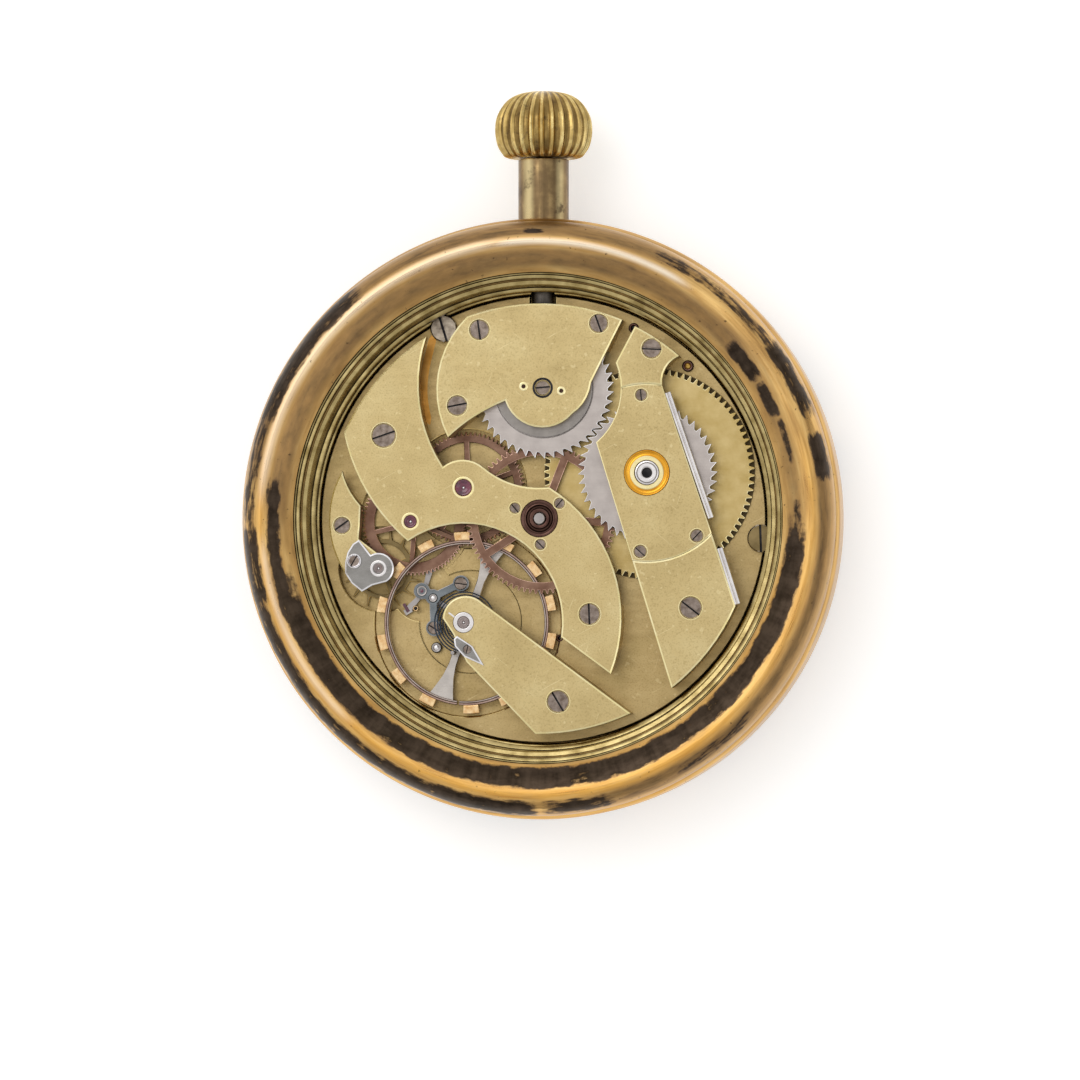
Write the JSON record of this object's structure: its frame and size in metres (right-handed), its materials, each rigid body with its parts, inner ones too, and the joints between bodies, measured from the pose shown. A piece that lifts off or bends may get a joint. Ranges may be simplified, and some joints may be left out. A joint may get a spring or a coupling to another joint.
{
  "type": "chronometer movement",
  "caption": "Round keyless lever movement with bar bridges, in an open backed brass case with pendant, fluted crown, dial and flat crystal.",
  "frame": {"origin": "centre of the flat outer face of the crystal, under the centre arbor", "axes": "+Z from the dial side to the train side, +Y to the crown, +X right when the train side is seen"},
  "size_m": [0.058, 0.0705, 0.0146],
  "materials": {
    "case_brass": "aged, lacquer worn",
    "crown_brass": "aged",
    "crystal": "clear",
    "dial_enamel": "glossy enamel",
    "blued_steel": "blued",
    "plate_gilt": "frosted gilt",
    "bridge_gilt": "frosted gilt, polished edges",
    "steel": "polished",
    "dark_steel": "dark polished",
    "spring_steel": "blued",
    "wheel_brass": "polished",
    "rose_gilt": "rose gilt",
    "gold_brass": "polished",
    "ruby": "polished synthetic ruby"
  },
  "bodies": {
    "root": {"case_band": "case_brass", "back_bezel": "case_brass", "front_bezel": "case_brass", "crystal": "crystal", "pendant_tube": "case_brass", "case_screws": "steel", "dial": "dial_enamel", "main_plate": "plate_gilt", "barrel_bridge": "bridge_gilt", "arbor_plate": "bridge_gilt", "crown_wheel_bridge": "bridge_gilt", "train_bridge": "bridge_gilt", "escape_cock": "bridge_gilt", "escape_cap": "steel", "pallet_bridge": "dark_steel", "balance_cock": "bridge_gilt", "bridge_screws": "steel", "small_screws": "steel", "crown_wheel_seat": "steel", "lever_spring": "steel", "click_spring": "steel", "stud_plate": "steel", "train_jewels": "ruby", "cap_jewels": "ruby", "arbor_bushes": "gold_brass"},
    "winder": {"winding_pinion": "steel"},
    "crown_and_stem": {"crown": "crown_brass", "winding_stem": "steel"},
    "clutch": {"clutch_pinion": "steel"},
    "setting_lever": {"setting_lever": "steel"},
    "clutch_lever": {"clutch_lever": "steel"},
    "crown_wheel": {"crown_wheel": "steel"},
    "ratchet": {"ratchet_wheel": "steel", "barrel_arbor": "steel"},
    "barrel": {"barrel_drum": "wheel_brass", "barrel_cover": "wheel_brass", "mainspring": "spring_steel"},
    "centre": {"centre_wheel": "rose_gilt", "centre_arbor": "steel", "cannon_pinion": "steel", "minute_hand": "blued_steel"},
    "third": {"third_wheel": "rose_gilt", "third_pinion": "steel"},
    "fourth": {"fourth_wheel": "rose_gilt", "fourth_pinion": "steel", "second_hand": "blued_steel"},
    "escape": {"escape_wheel": "wheel_brass", "escape_pinion": "steel"},
    "fork": {"pallet_fork": "steel", "pallet_stones": "ruby"},
    "balance": {"balance_wheel": "gold_brass", "balance_screws": "gold_brass", "balance_staff": "steel", "impulse_roller": "steel", "hairspring": "spring_steel"},
    "minute_works": {"minute_wheel": "wheel_brass"},
    "hour_works": {"hour_wheel": "wheel_brass", "hour_hand": "blued_steel"},
    "setting_works": {"setting_wheel": "steel"},
    "click": {"click": "steel"}
  },
  "joints": [
    {"name": "crown_turn", "type": "hinge", "parent": "root", "child": "winder", "pos_m": [0, 0.01738, 0.0072], "axis": [0, 1, 0], "continuous": true},
    {"name": "crown_pull", "type": "slide", "parent": "winder", "child": "crown_and_stem", "axis": [0, 1, 0], "range_m": [0, 0.0008]},
    {"name": "clutch_slide", "type": "slide", "parent": "winder", "child": "clutch", "axis": [0, 1, 0], "range_m": [-0.0008, 0]},
    {"name": "setting_lever_turn", "type": "hinge", "parent": "root", "child": "setting_lever", "pos_m": [0.0036, 0.01875, 0.0045], "axis": [0, 0, 1], "range_deg": [-13.03, 0]},
    {"name": "clutch_lever_turn", "type": "hinge", "parent": "root", "child": "clutch_lever", "pos_m": [-0.0036, 0.0149, 0.0045], "axis": [0, 0, 1], "range_deg": [-13.03, 0]},
    {"name": "crown_wheel_turn", "type": "hinge", "parent": "root", "child": "crown_wheel", "pos_m": [0.00034, 0.01256, 0.01], "axis": [0, 0, 1], "continuous": true},
    {"name": "ratchet_turn", "type": "hinge", "parent": "root", "child": "ratchet", "pos_m": [0.01039, 0.00437, 0.01], "axis": [0, 0, 1], "continuous": true},
    {"name": "centre_turn", "type": "hinge", "parent": "root", "child": "centre", "pos_m": [0, 0, 0.0094], "axis": [0, 0, 1], "continuous": true},
    {"name": "barrel_turn", "type": "hinge", "parent": "root", "child": "barrel", "pos_m": [0.01039, 0.00437, 0.0084], "axis": [0, 0, 1], "continuous": true},
    {"name": "third_turn", "type": "hinge", "parent": "root", "child": "third", "pos_m": [-0.00736, 0.00299, 0.0071], "axis": [0, 0, 1], "continuous": true},
    {"name": "fourth_turn", "type": "hinge", "parent": "root", "child": "fourth", "pos_m": [-0.0125, -0.00027, 0.0077], "axis": [0, 0, 1], "continuous": true},
    {"name": "escape_turn", "type": "hinge", "parent": "root", "child": "escape", "pos_m": [-0.0157, -0.00477, 0.0071], "axis": [0, 0, 1], "continuous": true},
    {"name": "minute_wheel_turn", "type": "hinge", "parent": "root", "child": "minute_works", "pos_m": [-0.0006, 0.00476, 0.0046], "axis": [0, 0, 1], "continuous": true},
    {"name": "hour_wheel_turn", "type": "hinge", "parent": "root", "child": "hour_works", "pos_m": [0, 0, 0.0042], "axis": [0, 0, 1], "continuous": true},
    {"name": "setting_wheel_turn", "type": "hinge", "parent": "root", "child": "setting_works", "pos_m": [0, 0.0101, 0.0048], "axis": [0, 0, 1], "continuous": true},
    {"name": "fork_swing", "type": "hinge", "parent": "root", "child": "fork", "pos_m": [-0.01175, -0.00692, 0.0071], "axis": [0, 0, 1], "range_deg": [-5, 5]},
    {"name": "balance_swing", "type": "hinge", "parent": "root", "child": "balance", "pos_m": [-0.0073, -0.01, 0.0086], "axis": [0, 0, 1], "range_deg": [-135, 135], "stiffness_Nm_per_rad": 0.0000012, "deforming": ["hairspring"]},
    {"name": "click_lift", "type": "hinge", "parent": "root", "child": "click", "pos_m": [0.01443, -0.00323, 0.01], "axis": [0, 0, 1], "range_deg": [0, 10]}
  ],
  "couplings": [
    {"joint": "clutch_slide", "follows": "crown_pull", "ratio": -1},
    {"joint": "setting_lever_turn", "follows": "crown_pull", "rad_per_m": -277.78},
    {"joint": "clutch_lever_turn", "follows": "crown_pull", "rad_per_m": -277.78},
    {"joint": "crown_wheel_turn", "follows": "crown_turn", "ratio": -0.34375},
    {"joint": "ratchet_turn", "follows": "crown_turn", "ratio": 0.34375},
    {"joint": "barrel_turn", "follows": "centre_turn", "ratio": -0.13333},
    {"joint": "third_turn", "follows": "centre_turn", "ratio": -8},
    {"joint": "fourth_turn", "follows": "centre_turn", "ratio": 60},
    {"joint": "escape_turn", "follows": "centre_turn", "ratio": -600},
    {"joint": "minute_wheel_turn", "follows": "centre_turn", "ratio": -0.33333},
    {"joint": "hour_wheel_turn", "follows": "centre_turn", "ratio": 0.083333},
    {"joint": "setting_wheel_turn", "follows": "centre_turn", "ratio": 0.66667}
  ]
}
